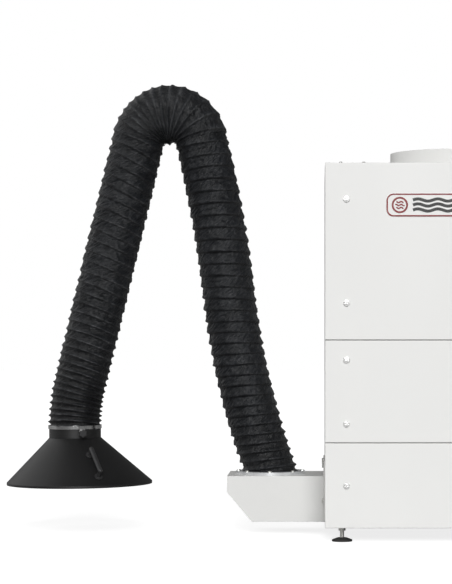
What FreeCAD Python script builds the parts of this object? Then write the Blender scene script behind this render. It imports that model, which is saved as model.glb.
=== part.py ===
import FreeCAD, Part
import math
import os

# Fume extraction cabinet with an internally supported hose arm and hood. Millimetres, +Z up,
# +X to the cabinet's right, -Y to its front. The origin is on the floor, below the middle of the
# whole object. Each node is written to parts/NODE.step.

# ---- driving dimensions ---------------------------------------------------------------------
SHEET = 2.0                       # panel thickness
CAB_LEFT = 85.0                   # left side of the cabinet
CAB_WIDTH = 800.0
CAB_DEPTH = 700.0
CAB_BOTTOM = 40.0
CAB_TOP = 1105.0
SEAM_LOW = 290.0                  # between the bottom and middle doors
SEAM_HIGH = 589.0                 # between the middle and top doors
DOOR_THICK = 22.0
DOOR_GAP = 2.0                    # seam between two doors
TUBE = 30.0                       # frame tube, square
TUBE_WALL = 2.0
BASE_TUBE = 40.0
FOOT_R = 30.0
HINGE_PIN_R = 2.5
RUN = 0.05                        # radial running clearance
LATCH_X = 147.5
LATCH_HEAD_R = 10.0
OUTLET_R = 198.0
OUTLET_TOP = 1160.0
INLET_HALF_DEPTH = 120.0
INLET_TOP = 178.0
INLET_LEFT = -210.5
SWIVEL_X = -82.0                  # vertical axis of the arm's swivel
SWIVEL_RING_R = 105.8
SWIVEL_RING_H = 9.0
HOSE_R = 80.0
HOSE_WALL = 4.0
HOSE_GAP = 0.5                    # between neighbouring lengths of hose
ARM_TUBE_R = 16.0
PIN_R = 8.0
EYE_R = 20.0
ELBOW_PIVOT_R = 50.0              # elbow pivots lie this far from the centre of the hose's bend
CHEEK_Y = 18.0                    # inner face of every fork cheek
CHEEK_THICK = 6.0
HOOD_RIM_R = 222.5
HOOD_RIM_SHIFT = 13.0              # the rim's centre stands off the collar's axis
HOOD_NECK_R = 79.3
HOOD_CONE_H = 142.0
HOOD_COLLAR_TOP = 176.0
HOOD_LEAN = 0.5                   # degrees, the hood's axis leans away from the cabinet

CAB_RIGHT = CAB_LEFT + CAB_WIDTH
CAB_MID = CAB_LEFT + CAB_WIDTH / 2
FRONT = -CAB_DEPTH / 2
BACK = CAB_DEPTH / 2
FRAME_FRONT = FRONT + DOOR_THICK + 2.0
DOOR_SPANS = {
    "bottom": (CAB_BOTTOM + 2.0, SEAM_LOW - DOOR_GAP / 2),
    "mid": (SEAM_LOW + DOOR_GAP / 2, SEAM_HIGH - DOOR_GAP / 2),
    "top": (SEAM_HIGH + DOOR_GAP / 2, CAB_TOP),
}
LATCHES = {
    "top_upper": 999.0,
    "top_lower": 697.0,
    "mid_upper": 531.0,
    "mid_lower": 345.0,
    "bottom": 165.0,
}

X, Y, Z = FreeCAD.Vector(1, 0, 0), FreeCAD.Vector(0, 1, 0), FreeCAD.Vector(0, 0, 1)


def vec(x, y, z):
    return FreeCAD.Vector(x, y, z)


def save(shape, node):
    shape.exportStep(f"parts/{node}.step")


def group(shapes):
    return Part.makeCompound(shapes)


def box(x0, x1, y0, y1, z0, z1):
    return Part.makeBox(x1 - x0, y1 - y0, z1 - z0, vec(x0, y0, z0))


def rod(start, direction, radius, length):
    return Part.makeCylinder(radius, length, start, direction)


def pipe(start, direction, inner, outer, length):
    return rod(start, direction, outer, length).cut(rod(start, direction, inner, length))


def tube_bar(x0, x1, y0, y1, z0, z1, along, wall=TUBE_WALL):
    """A square tube: the outer box less an inner one that runs out of both ends."""
    wx = 0.0 if along == "x" else wall
    wy = 0.0 if along == "y" else wall
    wz = 0.0 if along == "z" else wall
    return box(x0, x1, y0, y1, z0, z1).cut(
        box(x0 + wx, x1 - wx, y0 + wy, y1 - wy, z0 + wz, z1 - wz))


def prism(points, y0, y1):
    """A polygon in the XZ plane, given as (x, z) points, extruded from y0 to y1."""
    wire = Part.makePolygon([vec(x, y0, z) for x, z in points + points[:1]])
    return Part.Face(wire).extrude(vec(0, y1 - y0, 0))


def turned(profile, centre, axis):
    """A closed (radius, height) profile turned about an axis along Z, then leaned onto axis."""
    wire = Part.makePolygon([vec(r, 0, h) for r, h in profile + profile[:1]])
    solid = Part.Face(wire).revolve(vec(0, 0, 0), Z, 360)
    solid.Placement = FreeCAD.Placement(centre, FreeCAD.Rotation(Z, axis))
    return solid


def hexagon(centre, direction, across_corners, height):
    corners = [vec(across_corners / 2 * math.cos(math.radians(60 * i)),
                   across_corners / 2 * math.sin(math.radians(60 * i)), 0) for i in range(7)]
    solid = Part.Face(Part.makePolygon(corners)).extrude(vec(0, 0, height))
    solid.Placement = FreeCAD.Placement(centre, FreeCAD.Rotation(Z, direction))
    return solid


# ---- the hose's centre line -----------------------------------------------------------------
# The centre line lies in the plane y = 0. It is a chain of tangent arcs, each given by how far it
# turns (degrees, left is positive) and its radius; a turn of 0 is a straight of that length.
HOSE_START = (SWIVEL_X, 188.0)
HOSE_HEADING = 110.0
HOSE_ARCS = {
    "base": (-2.9, 2399.0),
    "lower_a": (-10.6, 2399.0),
    "lower_b": (7.5, 3680.0),
    "elbow": (152.5, 98.0),
    "upper": (0.0, 782.0),
    "wrist": (14.0, 515.5),
}


def lay_out_hose():
    """Each stretch's start point, heading, and, on an arc, its centre."""
    x, z = HOSE_START
    heading = HOSE_HEADING
    laid = {}
    for name, (turn, size) in HOSE_ARCS.items():
        h = math.radians(heading)
        if turn == 0:
            centre = None
            end = (x + size * math.cos(h), z + size * math.sin(h))
        else:
            side = math.copysign(1, turn)
            centre = (x - side * size * math.sin(h), z + side * size * math.cos(h))
            t = math.radians(turn)
            dx, dz = x - centre[0], z - centre[1]
            end = (centre[0] + dx * math.cos(t) - dz * math.sin(t),
                   centre[1] + dx * math.sin(t) + dz * math.cos(t))
        laid[name] = {"start": (x, z), "heading": heading, "centre": centre,
                      "turn": turn, "size": size, "end": end}
        x, z = end
        heading += turn
    return laid


HOSE = lay_out_hose()


def point_on(name, share):
    """The point a share of the way along a stretch of the centre line."""
    part = HOSE[name]
    x, z = part["start"]
    if part["centre"] is None:
        ex, ez = part["end"]
        return (x + (ex - x) * share, z + (ez - z) * share)
    t = math.radians(part["turn"] * share)
    cx, cz = part["centre"]
    return (cx + (x - cx) * math.cos(t) - (z - cz) * math.sin(t),
            cz + (x - cx) * math.sin(t) + (z - cz) * math.cos(t))


def hose_piece(name, trim_start=0.0, trim_end=0.0):
    """A hollow length of hose, with a little trimmed off either end along the centre line."""
    part = HOSE[name]
    heading = math.radians(part["heading"])
    x, z = part["start"]
    ahead = vec(math.cos(heading), 0, math.sin(heading))
    if part["centre"] is None:
        start = vec(x, 0, z) + ahead * trim_start
        return pipe(start, ahead, HOSE_R - HOSE_WALL, HOSE_R, part["size"] - trim_start - trim_end)
    cx, cz = part["centre"]
    side = math.copysign(1, part["turn"])
    ring = Part.Face(Part.Wire(Part.makeCircle(HOSE_R, vec(x, 0, z), ahead)))
    hole = Part.Face(Part.Wire(Part.makeCircle(HOSE_R - HOSE_WALL, vec(x, 0, z), ahead)))
    lead = math.degrees(trim_start / part["size"])
    sweep = abs(part["turn"]) - lead - math.degrees(trim_end / part["size"])
    pivot, axis = vec(cx, 0, cz), vec(0, -side, 0)
    solid = ring.revolve(pivot, axis, sweep).cut(hole.revolve(pivot, axis, sweep))
    solid.rotate(pivot, axis, lead)
    return solid


def base_bend():
    """The lowest length of hose: it leans, and its foot is cut level just above the swivel."""
    heading = math.radians(HOSE_HEADING)
    ahead = vec(math.cos(heading), 0, math.sin(heading))
    foot = vec(HOSE_START[0], 0, HOSE_START[1])
    tail = pipe(foot - ahead * 40, ahead, HOSE_R - HOSE_WALL, HOSE_R, 40)
    level = INLET_TOP + SWIVEL_RING_H + 0.3
    below = box(SWIVEL_X - 200, SWIVEL_X + 200, -200, 200, level - 200, level)
    return hose_piece("base", 0.0, HOSE_GAP).fuse(tail).removeSplitter().cut(below)


def elbow_pivot(end):
    """A pivot on the elbow's end plane, ELBOW_PIVOT_R from the centre of the hose's bend."""
    cx, cz = HOSE["elbow"]["centre"]
    x, z = HOSE["elbow"][end]
    share = ELBOW_PIVOT_R / HOSE["elbow"]["size"]
    return (cx + (x - cx) * share, cz + (z - cz) * share)


SHOULDER = point_on("base", 0.42)
ELBOW_LOW = elbow_pivot("start")
ELBOW_HIGH = elbow_pivot("end")
WRIST = point_on("wrist", 0.5)
NECK = HOSE["wrist"]["end"]


# ---- the hood's own frame -------------------------------------------------------------------
# Heights in the hood are measured along its axis from the rim plane.
LEAN = math.radians(HOOD_LEAN)
HOOD_UP = vec(-math.sin(LEAN), 0, math.cos(LEAN))
HOOD_RIM = vec(NECK[0], 0, NECK[1]) - HOOD_UP * (HOOD_COLLAR_TOP + 2.0)
HOOD_TURN = FreeCAD.Rotation(Z, HOOD_UP)


def in_hood(shape):
    """Move a shape modelled with the rim's centre at the origin and its axis on Z into place."""
    shape.Placement = FreeCAD.Placement(HOOD_RIM, HOOD_TURN).multiply(shape.Placement)
    return shape


# ---- base, feet and frame -------------------------------------------------------------------
def foot_places():
    inset = 50.0
    return [(x, y) for x in (CAB_LEFT + inset, CAB_RIGHT - inset)
            for y in (FRAME_FRONT + 24, BACK - inset)]


def make_feet():
    pads, studs = [], []
    for x, y in foot_places():
        pads.append(turned([(0, 0), (FOOT_R, 0), (FOOT_R, 5), (14, 11), (0, 11)], vec(x, y, 0), Z))
        studs.append(rod(vec(x, y, 11), Z, 6, 44))
        studs.append(hexagon(vec(x, y, 31), Z, 21, 8.5).cut(rod(vec(x, y, 30), Z, 6.02, 12)))
    save(group(pads), "foot_pads")
    save(group(studs), "foot_studs")


def make_base_frame():
    x0, x1 = CAB_LEFT + SHEET, CAB_RIGHT - SHEET
    y0, y1 = FRAME_FRONT, BACK - SHEET
    z0, z1 = CAB_BOTTOM, CAB_BOTTOM + BASE_TUBE
    bars = [
        tube_bar(x0, x1, y0, y0 + BASE_TUBE, z0, z1, "x", 3),
        tube_bar(x0, x1, y1 - BASE_TUBE, y1, z0, z1, "x", 3),
        tube_bar(x0, x0 + BASE_TUBE, y0 + BASE_TUBE, y1 - BASE_TUBE, z0, z1, "y", 3),
        tube_bar(x1 - BASE_TUBE, x1, y0 + BASE_TUBE, y1 - BASE_TUBE, z0, z1, "y", 3),
    ]
    holes = [rod(vec(x, y, z0 - 1), Z, 6.02, 20) for x, y in foot_places()]
    floor = box(x0, x1, y0, y1, z1, z1 + SHEET)
    save(group([bar.cut(holes) for bar in bars] + [floor]), "base_frame")


def door_opening_gaps():
    """The heights between the frame's cross rails, one for each door."""
    half = TUBE / 2
    floor = CAB_BOTTOM + BASE_TUBE + SHEET
    return [(floor, SEAM_LOW - half), (SEAM_LOW + half, SEAM_HIGH - half),
            (SEAM_HIGH + half, CAB_TOP - SHEET - TUBE)]


def make_cabinet_frame():
    x0, x1 = CAB_LEFT + SHEET, CAB_RIGHT - SHEET
    y0, y1 = FRAME_FRONT, BACK - SHEET
    z0, z1 = CAB_BOTTOM + BASE_TUBE + SHEET, CAB_TOP - SHEET
    bars = []
    for x in (x0, x1 - TUBE):
        for y in (y0, y1 - TUBE):
            bars.append(tube_bar(x, x + TUBE, y, y + TUBE, z0, z1 - TUBE, "z"))
        bars.append(tube_bar(x, x + TUBE, y0 + TUBE, y1 - TUBE, z1 - TUBE, z1, "y"))
    for y in (y0, y1 - TUBE):
        bars.append(tube_bar(x0, x1, y, y + TUBE, z1 - TUBE, z1, "x"))
    for seam in (SEAM_LOW, SEAM_HIGH):
        bars.append(tube_bar(x0 + TUBE, x1 - TUBE, y0, y0 + TUBE,
                             seam - TUBE / 2, seam + TUBE / 2, "x"))
    for low, high in door_opening_gaps():
        strip = box(x0 + TUBE, LATCH_X + 25, y0, y0 + 3, low, high)
        for z in LATCHES.values():
            if low < z < high:
                strip = strip.cut(rod(vec(LATCH_X, y0 - 1, z), Y, 8, 5))
        bars.append(strip)
    save(group(bars), "cabinet_frame")


# ---- panels ---------------------------------------------------------------------------------
INLET_HOLE = (105.0, 86.0, 166.0)          # half width along Y, lowest and highest Z


def make_panels():
    y0, y1 = FRAME_FRONT, BACK - SHEET
    z0, z1 = CAB_BOTTOM, CAB_TOP - SHEET
    half, low, high = INLET_HOLE
    left = box(CAB_LEFT, CAB_LEFT + SHEET, y0, y1, z0, z1)
    save(left.cut(box(CAB_LEFT - 1, CAB_LEFT + 5, -half, half, low, high)), "left_side_panel")
    save(box(CAB_RIGHT - SHEET, CAB_RIGHT, y0, y1, z0, z1), "right_side_panel")
    back = box(CAB_LEFT, CAB_RIGHT, y1, BACK, z0, z1)
    save(back.cut(rod(vec(GLAND_X, y1 - 1, GLAND_Z), Y, 10.1, 5)), "back_panel")
    roof = box(CAB_LEFT, CAB_RIGHT, FRAME_FRONT, BACK, z1, CAB_TOP)
    save(roof.cut(rod(vec(CAB_MID, 0, z1 - 1), Z, OUTLET_R - 4, 5)), "top_panel")


def make_roof_fittings():
    flange, wall = 26.0, 2.0
    profile = [(OUTLET_R - wall, 0), (OUTLET_R + flange, 0), (OUTLET_R + flange, 2.5),
               (OUTLET_R, 2.5), (OUTLET_R, OUTLET_TOP - CAB_TOP),
               (OUTLET_R - wall, OUTLET_TOP - CAB_TOP)]
    save(turned(profile, vec(CAB_MID, 0, CAB_TOP), Z), "outlet_collar")
    heads = []
    for reach in (287.0, 354.0):
        for x in (CAB_MID - reach, CAB_MID + reach):
            for y in (FRAME_FRONT + 9, BACK - 17):
                heads.append(turned([(0, 0), (5.5, 0), (5.5, 3), (4, 5), (0, 5)],
                                    vec(x, y, CAB_TOP), Z))
    for i in range(8):
        a = math.radians(45 * i + 22.5)
        r = OUTLET_R + 14
        heads.append(turned([(0, 0), (5.5, 0), (4.5, 2), (2, 3), (0, 3)],
                            vec(CAB_MID + r * math.cos(a), r * math.sin(a), CAB_TOP + 2.5), Z))
    save(group(heads), "roof_screws")


# ---- doors ----------------------------------------------------------------------------------
HINGE_X = CAB_RIGHT + 6.0
HINGE_Y = FRAME_FRONT - 1.0
KNUCKLE_R = 5.5
KNUCKLE = 22.0


def hinge_heights(span):
    low, high = span
    return [low + 45, high - 45 - 3 * KNUCKLE]


def make_door(name):
    """A sheet pan, open at the back, with latch holes and the middle knuckle of each hinge."""
    low, high = DOOR_SPANS[name]
    back = FRONT + DOOR_THICK
    pan = box(CAB_LEFT, CAB_RIGHT, FRONT, back, low, high)
    edges = [e for e in pan.Edges
             if all(abs(v.Y - FRONT) < 0.01 for v in e.Vertexes)]
    pan = pan.makeFillet(2.0, edges)
    pan = pan.cut(box(CAB_LEFT + SHEET, CAB_RIGHT - SHEET, FRONT + SHEET, back + 1,
                      low + SHEET, high - SHEET))
    for z in LATCHES.values():
        if low < z < high:
            pan = pan.cut(rod(vec(LATCH_X, FRONT - 1, z), Y, 6 + RUN, 5))
    if name == "top":
        pan = pan.cut([rod(vec(x, FRONT - 1, z), Y, BUTTON_R + 0.3, 5) for x, z in BUTTONS.values()])
    for z in hinge_heights((low, high)):
        leaf = box(CAB_RIGHT, CAB_RIGHT + SHEET, FRONT + 2, HINGE_Y - 6, z, z + 3 * KNUCKLE)
        tab = box(CAB_RIGHT, CAB_RIGHT + SHEET, HINGE_Y - 7, HINGE_Y,
                  z + KNUCKLE + 0.5, z + 2 * KNUCKLE - 0.5)
        barrel = rod(vec(HINGE_X, HINGE_Y, z + KNUCKLE + 0.5), Z, KNUCKLE_R, KNUCKLE - 1)
        bore = rod(vec(HINGE_X, HINGE_Y, z), Z, HINGE_PIN_R + RUN, 3 * KNUCKLE)
        pan = pan.fuse([leaf, tab, barrel]).cut(bore)
    save(pan.removeSplitter(), f"{name}_door")


def make_hinges():
    parts = []
    for span in DOOR_SPANS.values():
        for z in hinge_heights(span):
            leaf = box(CAB_RIGHT, CAB_RIGHT + SHEET, HINGE_Y + 6, HINGE_Y + 34, z, z + 3 * KNUCKLE)
            bore = rod(vec(HINGE_X, HINGE_Y, z - 1), Z, HINGE_PIN_R + 0.02, 3 * KNUCKLE + 2)
            for k in (0, 2):
                z0, z1 = z + k * KNUCKLE, z + (k + 1) * KNUCKLE
                leaf = leaf.fuse(box(CAB_RIGHT, CAB_RIGHT + SHEET, HINGE_Y, HINGE_Y + 7, z0, z1))
                leaf = leaf.fuse(rod(vec(HINGE_X, HINGE_Y, z0), Z, KNUCKLE_R, KNUCKLE))
            parts.append(leaf.cut(bore).removeSplitter())
            parts.append(rod(vec(HINGE_X, HINGE_Y, z - 1), Z, HINGE_PIN_R, 3 * KNUCKLE + 2))
    save(group(parts), "cabinet_hinges")


def make_door_seals():
    """A flat foam ring round each door opening, on the front face of the frame."""
    seals = []
    for low, high in DOOR_SPANS.values():
        outer = box(CAB_LEFT + 4, CAB_RIGHT - 4, FRAME_FRONT - 1.6, FRAME_FRONT,
                    max(low, CAB_BOTTOM + 2) + 3, high - 3)
        inner = box(CAB_LEFT + 22, CAB_RIGHT - 22, FRAME_FRONT - 3, FRAME_FRONT + 1,
                    max(low, CAB_BOTTOM + 2) + 21, high - 15)
        seals.append(outer.cut(inner))
    save(group(seals), "door_seals")


def make_latches():
    for name, z in LATCHES.items():
        head = turned([(0, 0), (LATCH_HEAD_R, 0), (LATCH_HEAD_R, 2.5), (8.5, 4.5), (0, 5)],
                      vec(LATCH_X, FRONT, z), -Y)
        slot = box(LATCH_X - 6.5, LATCH_X + 6.5, FRONT - 6, FRONT - 3.2, z - 1, z + 1)
        stud = rod(vec(LATCH_X, FRONT, z), Y, 6, 36)
        save(head.cut(slot).fuse(stud).removeSplitter(), f"latch_{name}")


def make_badge():
    """A plate with rounded corners on the top door."""
    x0, x1 = CAB_MID - 221.5, CAB_MID + 221.5
    plate = box(x0, x1, FRONT - 1.5, FRONT, 948, 1015)
    corners = [e for e in plate.Edges if abs(e.Vertexes[0].Y - e.Vertexes[-1].Y) > 1]
    save(plate.makeFillet(20, corners), "badge_plate")


# ---- control plate and buttons --------------------------------------------------------------
BUTTON_R = 12.0
BUTTONS = {"start": (790.0, 900.0), "stop": (790.0, 850.0)}


def make_controls():
    x, top, low = 790.0, 930.0, 820.0
    plate = box(x - 32, x + 32, FRONT - 3, FRONT, low, top)
    corners = [e for e in plate.Edges if abs(e.Vertexes[0].Y - e.Vertexes[-1].Y) > 1]
    plate = plate.makeFillet(6, corners)
    for bx, bz in BUTTONS.values():
        plate = plate.cut(rod(vec(bx, FRONT - 4, bz), Y, BUTTON_R + 0.3, 6))
        plate = plate.fuse(pipe(vec(bx, FRONT - 8, bz), Y, BUTTON_R + 0.3, BUTTON_R + 4, 5))
    save(plate.removeSplitter(), "control_plate")
    bx, bz = BUTTONS["start"]
    profile = [(0, -4), (BUTTON_R, -4), (BUTTON_R, 11), (BUTTON_R - 1.5, 12.5), (0, 12.5)]
    save(turned(profile, vec(bx, FRONT, bz), -Y), "start_button")
    bx, bz = BUTTONS["stop"]
    profile = [(0, -4), (BUTTON_R, -4), (BUTTON_R, 13), (19, 13), (19, 18), (14, 22), (0, 24)]
    save(turned(profile, vec(bx, FRONT, bz), -Y), "stop_button")


# ---- filters --------------------------------------------------------------------------------
CASSETTE_HALF = 290.0
PREFILTER_H = 48.0
FILTER_H = 200.0


def deck(z, hole):
    """A partition between compartments, notched round the rear posts."""
    x0, x1 = CAB_LEFT + SHEET, CAB_RIGHT - SHEET
    plate = box(x0, x1, FRAME_FRONT + TUBE, BACK - SHEET - TUBE, z - 1, z + 1)
    rear = box(x0 + TUBE, x1 - TUBE, BACK - SHEET - TUBE - 1, BACK - SHEET, z - 1, z + 1)
    return plate.fuse(rear).removeSplitter().cut(hole)


def frame_ring(half, wall, z0, z1):
    outer = box(CAB_MID - half, CAB_MID + half, -half, half, z0, z1)
    inner = box(CAB_MID - half + wall, CAB_MID + half - wall, -half + wall, half - wall,
                z0 - 1, z1 + 1)
    return outer.cut(inner)


def pleats(z0, z1, half, count):
    """One folded sheet of filter paper: a zigzag of even thickness."""
    pitch = 2 * half / count
    thick = 1.6
    top, bottom = [], []
    for i in range(count + 1):
        x = CAB_MID - half + i * pitch
        z = z1 - thick if i % 2 else z0
        top.append((x, z + thick))
        bottom.append((x, z))
    return prism(top + bottom[::-1], -half, half)


def make_filters():
    hole = box(CAB_MID - 250, CAB_MID + 250, -250, 250, SEAM_LOW - 5, SEAM_LOW + 5)
    save(deck(SEAM_LOW, hole), "filter_deck")
    base = SEAM_LOW + 1
    half, wall = CASSETTE_HALF, 15.0
    fill = half - wall - 0.5
    mesh = box(CAB_MID - fill, CAB_MID + fill, -fill, fill, base + 2, base + PREFILTER_H - 2)
    save(group([frame_ring(half, wall, base, base + PREFILTER_H), mesh]), "prefilter_cassette")
    base += PREFILTER_H
    save(frame_ring(half, wall, base, base + FILTER_H), "main_filter_frame")
    save(pleats(base + 4, base + FILTER_H - 4, fill, 56), "main_filter_pleats")


def make_bottom_compartment():
    floor = CAB_BOTTOM + BASE_TUBE + SHEET
    tray = box(260, 780, -240, 260, floor, floor + 70)
    tray = tray.cut(box(261.5, 778.5, -238.5, 258.5, floor + 1.5, floor + 80))
    grip = box(460, 580, -256, -240, floor + 50, floor + 53)
    save(tray.fuse(grip).removeSplitter(), "dust_tray")
    slope = [(130, 245), (230, 175), (232, 177), (132, 247)]
    feet = [box(128, 132, y, y + 4, floor, 244.5) for y in (-150, 146)]
    save(prism(slope, -150, 150).fuse(feet).removeSplitter(), "spark_baffle")


# ---- fan ------------------------------------------------------------------------------------
IMPELLER_R = 200.0
SHAFT_R = 14.0


def make_fan():
    deck_top = SEAM_HIGH + 1
    hole = rod(vec(CAB_MID, 0, SEAM_HIGH - 5), Z, 132, 10)
    save(deck(SEAM_HIGH, hole), "fan_deck")
    ring = [(128, 0), (150, 0), (150, 2), (131, 2), (126, 12), (122, 22), (120, 22), (124, 11)]
    save(turned(ring, vec(CAB_MID, 0, deck_top), Z), "fan_inlet_ring")

    low, high = deck_top + 30, deck_top + 132
    shroud = turned([(130, 0), (IMPELLER_R, 22), (IMPELLER_R, 24), (130, 2)],
                    vec(CAB_MID, 0, low), Z)
    wheel = shroud.fuse(rod(vec(CAB_MID, 0, high), Z, IMPELLER_R, 4))
    blade = box(128, 196, -1.25, 1.25, low + 20, high + 1)
    blade = blade.fuse(prism([(128, low + 1), (196, low + 22), (196, low + 30), (128, low + 30)],
                             -1.25, 1.25)).removeSplitter()
    blade.rotate(vec(128, 0, 0), Z, -38)
    blade.translate(vec(CAB_MID, 0, 0))
    for _ in range(8):
        blade.rotate(vec(CAB_MID, 0, 0), Z, 45)
        wheel = wheel.fuse(blade.copy())
    hub = rod(vec(CAB_MID, 0, high - 26), Z, 34, 30)
    wheel = wheel.fuse(hub).cut(rod(vec(CAB_MID, 0, low), Z, SHAFT_R + 0.01, 200))
    shaft = rod(vec(CAB_MID, 0, high - 30), Z, SHAFT_R, 80)
    save(group([wheel.removeSplitter(), shaft]), "fan_impeller")

    bridge = high + 22
    plate = box(CAB_MID - 190, CAB_MID + 190, -190, 190, bridge, bridge + 6)
    plate = plate.cut(rod(vec(CAB_MID, 0, bridge - 1), Z, 40, 8))
    legs = [tube_bar(CAB_MID + sx * 178 - 12, CAB_MID + sx * 178 + 12, sy * 178 - 12,
                     sy * 178 + 12, deck_top, bridge, "z") for sx in (-1, 1) for sy in (-1, 1)]
    save(group([plate] + legs), "motor_bridge")

    base = bridge + 6
    motor = rod(vec(CAB_MID, 0, base), Z, 100, 10).fuse(rod(vec(CAB_MID, 0, base + 10), Z, 78, 160))
    fins = [box(74, 88, -1.5, 1.5, base + 18, base + 150) for _ in range(24)]
    for i, fin in enumerate(fins):
        fin.rotate(vec(0, 0, 0), Z, 15 * i)
        fin.translate(vec(CAB_MID, 0, 0))
    cowl = pipe(vec(CAB_MID, 0, base + 152), Z, 84, 90, 40)
    cowl = cowl.fuse(rod(vec(CAB_MID, 0, base + 188), Z, 90, 4))
    cowl = cowl.fuse(pipe(vec(CAB_MID, 0, base + 152), Z, 77, 90, 6))
    box_lid = box(CAB_MID - 45, CAB_MID + 45, -128, -84, base + 60, base + 130)
    motor = motor.fuse(fins + [cowl, box_lid])
    motor = motor.cut(rod(vec(CAB_MID, 0, base - 1), Z, SHAFT_R + RUN, 60))
    save(motor.removeSplitter(), "fan_motor")


# ---- cable gland ----------------------------------------------------------------------------
GLAND_X, GLAND_Z = CAB_LEFT + 700.0, 640.0
GLAND_BORE_R = 6.5


def make_gland():
    at = vec(GLAND_X, BACK - SHEET - 12, GLAND_Z)
    body = rod(at, Y, 10, 30)
    body = body.fuse(hexagon(vec(GLAND_X, BACK, GLAND_Z), Y, 27, 8))
    body = body.fuse(turned([(0, 8), (12, 8), (12, 18), (9, 23), (0, 23)],
                            vec(GLAND_X, BACK, GLAND_Z), Y))
    nut = hexagon(vec(GLAND_X, BACK - SHEET - 6, GLAND_Z), Y, 28, 6)
    nut = nut.cut(rod(vec(GLAND_X, BACK - 20, GLAND_Z), Y, 10.02, 20))
    body = body.cut(rod(at - Y, Y, GLAND_BORE_R, 60))
    save(group([body.removeSplitter(), nut]), "cable_gland")


# ---- inlet box ------------------------------------------------------------------------------
def make_inlet_box():
    right = CAB_LEFT - 4
    drop, run = 49.0, 75.0
    outline = [(INLET_LEFT, INLET_TOP), (right, INLET_TOP), (right, CAB_BOTTOM),
               (INLET_LEFT + run, CAB_BOTTOM), (INLET_LEFT, INLET_TOP - drop)]
    s = SHEET
    inner = [(INLET_LEFT + s, INLET_TOP - s), (right + 1, INLET_TOP - s),
             (right + 1, CAB_BOTTOM + s), (INLET_LEFT + run + 0.7 * s, CAB_BOTTOM + s),
             (INLET_LEFT + s, INLET_TOP - drop + 0.7 * s)]
    outer = prism(outline, -INLET_HALF_DEPTH, INLET_HALF_DEPTH)
    shell = outer.cut(prism(inner, -INLET_HALF_DEPTH + s, INLET_HALF_DEPTH - s))
    shell = shell.cut(rod(vec(SWIVEL_X, 0, INLET_TOP - 5), Z, 78, 10))
    save(shell, "inlet_box")

    half, low, high = INLET_HOLE
    flange = box(right, CAB_LEFT, -152, 152, CAB_BOTTOM + 2, 226)
    flange = flange.cut(box(right - 1, CAB_LEFT + 1, -half, half, low, high))
    save(flange, "inlet_flange")

    bolts = []
    for y, z in [(-137, 211), (0, 211), (137, 211), (-137, 106), (137, 106)]:
        bolts.append(hexagon(vec(right, y, z), -X, 13, 5))
    ring_top = INLET_TOP + SWIVEL_RING_H
    for i in range(8):
        a = math.radians(45 * i)
        bolts.append(hexagon(vec(SWIVEL_X + 98 * math.cos(a), 98 * math.sin(a), ring_top), Z, 11, 4))
    save(group(bolts), "inlet_bolts")


# ---- arm ------------------------------------------------------------------------------------
def cheek_pair(outline):
    """Two fork cheeks, one each side of an eye, cut from the same (x, z) outline."""
    near = prism(outline, -CHEEK_Y - CHEEK_THICK, -CHEEK_Y)
    return [near, near.translated(vec(0, 2 * CHEEK_Y + CHEEK_THICK, 0))]


def disc_pair(at):
    return [rod(vec(at[0], y, at[1]), Y, EYE_R + 2, CHEEK_THICK)
            for y in (-CHEEK_Y - CHEEK_THICK, CHEEK_Y)]


def pin_at(at, reach=CHEEK_Y + CHEEK_THICK + 6.0):
    shank = rod(vec(at[0], -reach, at[1]), Y, PIN_R, 2 * reach)
    heads = [rod(vec(at[0], y, at[1]), Y, PIN_R + 4, 5) for y in (-reach - 5, reach)]
    return shank.fuse(heads).removeSplitter()


def pin_hole(at, extra):
    return rod(vec(at[0], -60, at[1]), Y, PIN_R + extra, 120)


def make_swivel():
    top = SWIVEL_RING_H
    ring = [(90.5, 0), (SWIVEL_RING_R, 0), (SWIVEL_RING_R, top), (76, top), (76, top - 2.5),
            (90.5, top - 2.5)]
    save(turned(ring, vec(SWIVEL_X, 0, INLET_TOP), Z), "swivel_flange")
    bearing = [(79, 0), (89.5, 0), (89.5, 1.2), (79, 1.2)]
    save(turned(bearing, vec(SWIVEL_X, 0, INLET_TOP), Z), "swivel_bearing")

    spigot = [(66, 1.5), (89.5, 1.5), (89.5, 6.0), (70, 6.0), (70, 20), (66, 20)]
    hub = turned(spigot, vec(SWIVEL_X, 0, INLET_TOP), Z)
    x, z = SHOULDER
    floor = INLET_TOP + 1.5
    bar = box(SWIVEL_X - 68, SWIVEL_X + 68, -CHEEK_Y - CHEEK_THICK, CHEEK_Y + CHEEK_THICK,
              floor, floor + 6)
    cheeks = cheek_pair([(x - 22, floor), (x + 22, floor), (x + 22, z), (x - 22, z)])
    hub = hub.fuse([bar] + cheeks + disc_pair(SHOULDER))
    hub = hub.cut(pin_hole(SHOULDER, 0.02))
    save(hub.removeSplitter(), "swivel_hub")
    save(pin_at(SHOULDER, 46), "shoulder_pin")

    coil_r, wire_r, pitch, turns = 15.0, 1.8, 4.0, 4
    helix = Part.makeHelix(pitch, pitch * turns, coil_r)
    wire = Part.Wire(Part.makeCircle(wire_r, vec(coil_r, 0, 0), Y))
    spring = Part.Wire(helix).makePipeShell([wire], True, True)
    spring.Placement = FreeCAD.Placement(vec(x, CHEEK_Y + CHEEK_THICK + 3, z),
                                         FreeCAD.Rotation(Z, Y))
    save(spring, "balance_spring")


def arm_tube(low, high):
    """A tube between two pivots, with a bored eye at each end."""
    a, b = vec(low[0], 0, low[1]), vec(high[0], 0, high[1])
    along = (b - a).normalize()
    length = (b - a).Length
    body = pipe(a + along * 12, along, ARM_TUBE_R - 3, ARM_TUBE_R, length - 24)
    eyes = [rod(vec(p[0], -15, p[1]), Y, EYE_R, 30) for p in (low, high)]
    body = body.fuse(eyes)
    return body.cut([pin_hole(low, RUN), pin_hole(high, RUN)]).removeSplitter()


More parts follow.
